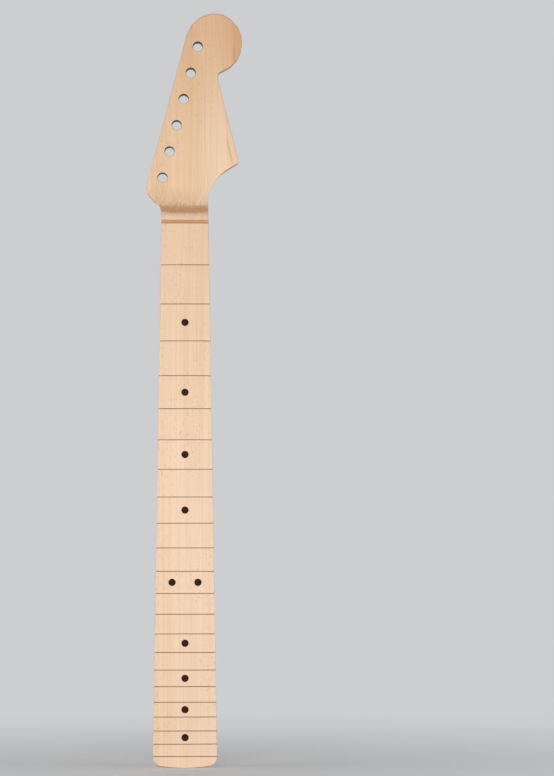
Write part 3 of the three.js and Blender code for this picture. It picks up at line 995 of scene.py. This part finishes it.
def crown_level(across, height):
    """The playing surface: a circle across, whose radius grows evenly from nut to board end"""
    down = (nut_height - height) / (nut_height - board_end)
    radius = radius_at_nut + (radius_at_end - radius_at_nut) * down
    return playing_level + radius - np.sqrt(radius**2 - across**2)


def top_level(across, height):
    """The deeper of crown and scoop. Where they differ by less than the ease, the edge between
    them is rolled over by a quarter of ease * (1 - difference / ease)^2."""
    crown, scoop = crown_level(across, height), scoop_level(height)
    near = np.clip(1 - np.abs(crown - scoop) / land_ease, 0, 1)
    return np.maximum(crown, scoop) + land_ease / 4 * near**2


def board_side(edge, heights):
    """One side of the board, row by row: the rolled edge of its top, the wall and its foot"""
    across, normal_x, normal_z = at_heights(edge, heights)
    height = heights[:, None]
    level = np.minimum(top_level(across, height), glue_level - feather_edge)
    roll = np.minimum(board_roll, (glue_level - level) * thin_roll)
    rim_x, rim_z = across - normal_x * roll, height - normal_z * roll
    rim_level = np.minimum(top_level(rim_x, rim_z), glue_level - feather_edge)
    rim = points(rim_x, rim_level, rim_z)[:, 0]
    foot = glue_level - np.minimum(shaft_round, (glue_level - level) * thin_foot)
    share = np.linspace(0, 1, side_steps)
    wall = points(across, level + roll + (foot - level - roll) * share, height)
    top = eased(rim, points(across, level, height)[:, 0], wall[:, 0], eases)[:, :-1]
    under = points(across - normal_x * shaft_round, glue_level, height - normal_z * shaft_round)
    return np.concatenate([top, wall, under], 1)


def slot_rows():
    """Low edge, high edge and floor of each slot, from the last fret up to the nut"""
    frets = fret_height(np.arange(fret_count, 0, -1))
    half = fret_slot_width / 2
    rows = np.stack([frets - half, frets + half, np.full_like(frets, fret_slot_depth)], 1)
    nut_row = [[nut_height, nut_height + nut_slot_width, nut_slot_depth]]
    return np.concatenate([rows, nut_row]) + [0, 0, playing_level]


def board_rows(treble, bass, top):
    """The heights of the cross-sections, and the level down to which each is cut. A slot has
    four: one uncut and one cut at each of its edges."""
    low, high, floor = slot_rows().T
    brow = np.arange(land_height - brow_reach, land_height + brow_reach, brow_step)
    ramp = np.arange(land_height, top, ramp_step)
    plain = section_heights(treble, bass, top, brow, ramp)
    gap = np.abs(plain[:, None] - np.concatenate([low, high])[None]).min(1)
    inside = ((plain[:, None] > low) & (plain[:, None] < high)).any(1)
    plain = plain[(gap > slot_clearance) & ~inside]
    uncut = np.full_like(plain, playing_level - overrun)
    none = np.full_like(low, playing_level - overrun)
    heights = np.concatenate([plain, low, low, high, high])
    floors = np.concatenate([uncut, none, floor, floor, none])
    upwards = np.argsort(heights, kind="stable")
    return heights[upwards], floors[upwards]


board_top = scoop_foot - scoop_reach(glue_level - feather_edge)
board_edges = [edge[edge[:, 1] < board_top + edge_spare] for edge in edges(board_end)]
board_heights, board_floors = board_rows(*board_edges, board_top)
treble_side, bass_side = (board_side(edge, board_heights) for edge in board_edges)
board_face = between(bass_side[:, 0], treble_side[:, 0], board_steps)
board_face[..., 1] = top_level(board_face[..., 0], board_face[..., 2])
board_face[..., 1] = np.minimum(board_face[..., 1], glue_level - feather_edge)
board_under = between(treble_side[:, -1], bass_side[:, -1], board_steps)
board_rings = np.concatenate([board_face, treble_side, board_under, bass_side[:, ::-1]], 1)
board_rings[..., 1] = np.maximum(board_rings[..., 1], board_floors[:, None])
row_floor = np.maximum(board_floors[:-1], board_floors[1:])[:, None]
next_points = np.roll(board_rings, -1, 1)
face_middle = (board_rings[:-1] + board_rings[1:] + next_points[:-1] + next_points[1:])[..., 1] / 4
sawn_face = (row_floor > playing_level) & (face_middle <= row_floor + weld_distance)
board_finish_of = np.where(sawn_face, np.where(board_heights[:-1, None] < nut_height, 1, 2), 0)


board_wood = {"pith": (-95, 70), "lean": (0.01, 0.006), "ring_width": 1.5}
board_wood |= {"pale": paint(244, 214, 186), "warm": paint(241, 208, 178)}
board_line_and_shade = paint(200, 152, 112)


def board_finish():
    """The board's maple with one vein near the second fret. It is painted a little more brown
    towards the nut and on the land, as painted shade for the light falling off there
    """
    finish = Finish("board_maple", {"Specular IOR Level": 0.2})
    colour, _ = maple(finish, board_line_and_shade, **board_wood)
    # Painted shade: darker brown towards the nut and again on the nut slot and land, for the light
    # falling off there
    painted_nut_shade = finish.z.over(150, 425) * 0.17 + finish.z.over(430, 437) * 0.15
    streak = vein(finish, 390, 398, (-2.9, -2.7, -2.4), 0.6)
    finish.feed("Base Color", colour.tinted([(painted_nut_shade, board_line_and_shade), (streak * 0.3, board_line_and_shade)]))
    return finish.material


# The saw cuts are a deep, saturated brown: a slight burn tint of the cut, and painted shade with
# the brown of light bounced inside the narrow slots
sawn_maple = bored_maple_finish("sawn_maple", paint(158, 100, 58), paint(118, 70, 38))
nut_seat_maple = bored_maple_finish("nut_seat_maple", paint(212, 168, 129), paint(194, 150, 111))
board_finishes = [board_finish(), sawn_maple, nut_seat_maple]
board = skin("slotted_fretboard", board_rings, board_finishes, board_finish_of)


# The position dots are black-brown discs, glued into drilled pockets and sanded flush: ten in
# the playing surface and ten small ones in the bass edge.
dot_nodes = [name for name in frame["nodes"] if "_dot_" in name]
dot_gap = 0.00002
dot_edge = 0.00005
face_dot_radius = 0.003175
face_dot_sides = 64
side_dot_radius = 0.001
side_dot_sides = 32


def dot_finish():
    """Hard dark plastic, sanded with the board: fine scratches along it and a paler film"""
    finish = Finish("dot_plastic", {"Specular IOR Level": 0.1})
    tone = finish.tone
    scratch = finish.noise((9, 9, 0.6), detail=3.0)
    cloud = finish.noise((0.8, 0.8, 0.8))
    colour = tone.mix(cloud.over(0.3, 0.7), paint(44, 25, 19), paint(58, 35, 27))
    colour = tone.mix(scratch.over(0.5, 0.85) * 0.35, colour, paint(92, 68, 58))
    finish.feed("Base Color", colour)
    finish.feed("Roughness", scratch * 0.3 + 0.42)
    finish.relief(scratch, 0.15, 0.00005)
    return finish.material


def disc_rings(node, profile, sides):
    """A profile turned about the line along which a dot is set in, and laid flush with the
    surface there"""
    middle = middle_of(node)
    if node.startswith("face"):
        rings = turned(profile, (middle.x, 0, middle.z), 1, sides)
        rings[..., 1] += crown_level(rings[..., 0], rings[..., 2])
    else:
        rings = turned(profile, (0, middle.y, middle.z), 0, sides)
        rings[..., 0] -= half_width(rings[..., 2])
    return rings


dot_plastic = dot_finish()
pockets = []
for node in dot_nodes:
    low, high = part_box(node)
    if node.startswith("face"):
        radius, sides = face_dot_radius, face_dot_sides
        depth = high.y - crown_level(middle_of(node).x, middle_of(node).z)
    else:
        radius, sides = side_dot_radius, side_dot_sides
        depth = high.x - low.x
    rim = [(radius - dot_edge, 0), (radius, dot_edge)]
    profile = [(0, 0), (radius / 2, 0), *rim, (radius, depth), (0, depth)]
    disc = skin(f"{node}_inlay", disc_rings(node, profile, sides), [dot_plastic])
    stand_for(disc, node, "neck")
    hollow = square_ended(radius + dot_gap, -overrun, depth + dot_gap)
    pockets.append(skin("pocket", disc_rings(node, hollow, sides), [sawn_maple]))
stand_for(cut(board, pockets), "fretboard", "neck")


# The studio: a pale floor that runs out into a pale backdrop, and large soft lamps in front,
# at both sides and behind.
photo_height = 776
view_distance = 3.0
view_height = 0.1784
view_pitch = 2.02
view_yaw = 1.538
view_roll = -0.056
view_length = 3428.6
backdrop = paint(204, 206, 208)
floor_reach = 6.0
floor_depth = 0.02
floor_sides = 96
world_light = 0.14
lamps = [
    ("front", (-0.14, -1.17, 0.2), (0.8, 0.4), 9.1),
    ("right", (1.9, -0.9, 0.6), (1.2, 1.0), 9.0),
    ("left", (-1.9, -0.5, 0.6), (1.2, 1.0), 8.5),
    ("back", (-0.17, 1.7, 0.18), (1.16, 0.44), 22.6),
]
lamp_target = Vector((0, 0, 0.22))


def seen_rays(tree):
    """1 for a ray from the camera, off a gloss or through a clear surface, and 0 for others"""
    kinds = ("Is Camera Ray", "Is Glossy Ray", "Is Transmission Ray")
    camera, gloss, clear = (Tone(tree).node("LightPath", output=kind) for kind in kinds)
    return camera.math("MAXIMUM", gloss).math("MAXIMUM", clear)


def give_way(tree, mask, lit, shown, end):
    """Feeds the end of a tree with one shader, and with another where the mask is 1"""
    pick = tree.nodes.new("ShaderNodeMixShader")
    tree.links.new(mask.socket, pick.inputs[0])
    tree.links.new(lit.outputs[0], pick.inputs[1])
    tree.links.new(shown.outputs[0], pick.inputs[2])
    tree.links.new(pick.outputs[0], tree.nodes[end].inputs[0])


world = bpy.data.worlds.new("studio")
bpy.context.scene.world = world
world.use_nodes = True
air = world.node_tree
light_air = air.nodes["Background"]
light_air.inputs["Color"].default_value = (1, 1, 1, 1)
light_air.inputs["Strength"].default_value = world_light
shown_air = air.nodes.new("ShaderNodeBackground")
shown_air.inputs["Color"].default_value = backdrop
give_way(air, seen_rays(air), light_air, shown_air, "World Output")


def floor_finish():
    """Matt pale paint that gives way to the backdrop's own colour away from the object"""
    finish = Finish("studio_floor", {"Roughness": 0.8, "Specular IOR Level": 0.2})
    tone, tree = finish.tone, finish.tree
    speck = finish.noise((0.05, 0.05, 1), detail=3.0).over(0.3, 0.7)
    finish.feed("Base Color", tone.mix(speck * 0.2, paint(232, 233, 234), paint(220, 221, 223)))
    glow = tree.nodes.new("ShaderNodeEmission")
    glow.inputs["Color"].default_value = backdrop
    away = ((finish.x * finish.x + finish.y * finish.y) ** 0.5).over(-350, 900)
    give_way(tree, away * seen_rays(tree), finish.shader, glow, "Material Output")
    return finish.material


floor_disc = square_ended(floor_reach, board_end, board_end - floor_depth)
floor = skin("studio_floor", turned(floor_disc, (0, 0, 0), 2, floor_sides), [floor_finish()])

for name, place, (width, height), power in lamps:
    lamp = bpy.data.lights.new(name, "AREA")
    lamp.shape = "RECTANGLE"
    lamp.size = width
    lamp.size_y = height
    lamp.energy = power
    holder = bpy.data.objects.new(name, lamp)
    away = Vector(place) - lamp_target
    holder.rotation_euler = away.to_track_quat("Z", "Y").to_euler()
    holder.location = place
    holder.visible_camera = False
    holder.visible_glossy = name in ("left", "right")
    bpy.context.scene.collection.objects.link(holder)

camera = bpy.data.cameras.new("camera")
camera.lens = view_length / photo_height * camera.sensor_width
eye = bpy.data.objects.new("camera", camera)
eye.location = (0, playing_level - view_distance, view_height)
aim = Matrix.Rotation(math.radians(-view_yaw), 4, "Z")
aim = aim @ Matrix.Rotation(math.radians(90 + view_pitch), 4, "X")
aim = aim @ Matrix.Rotation(math.radians(view_roll), 4, "Z")
eye.rotation_euler = aim.to_euler()
bpy.context.scene.collection.objects.link(eye)
bpy.context.scene.camera = eye
bpy.context.scene.view_settings.view_transform = "Standard"
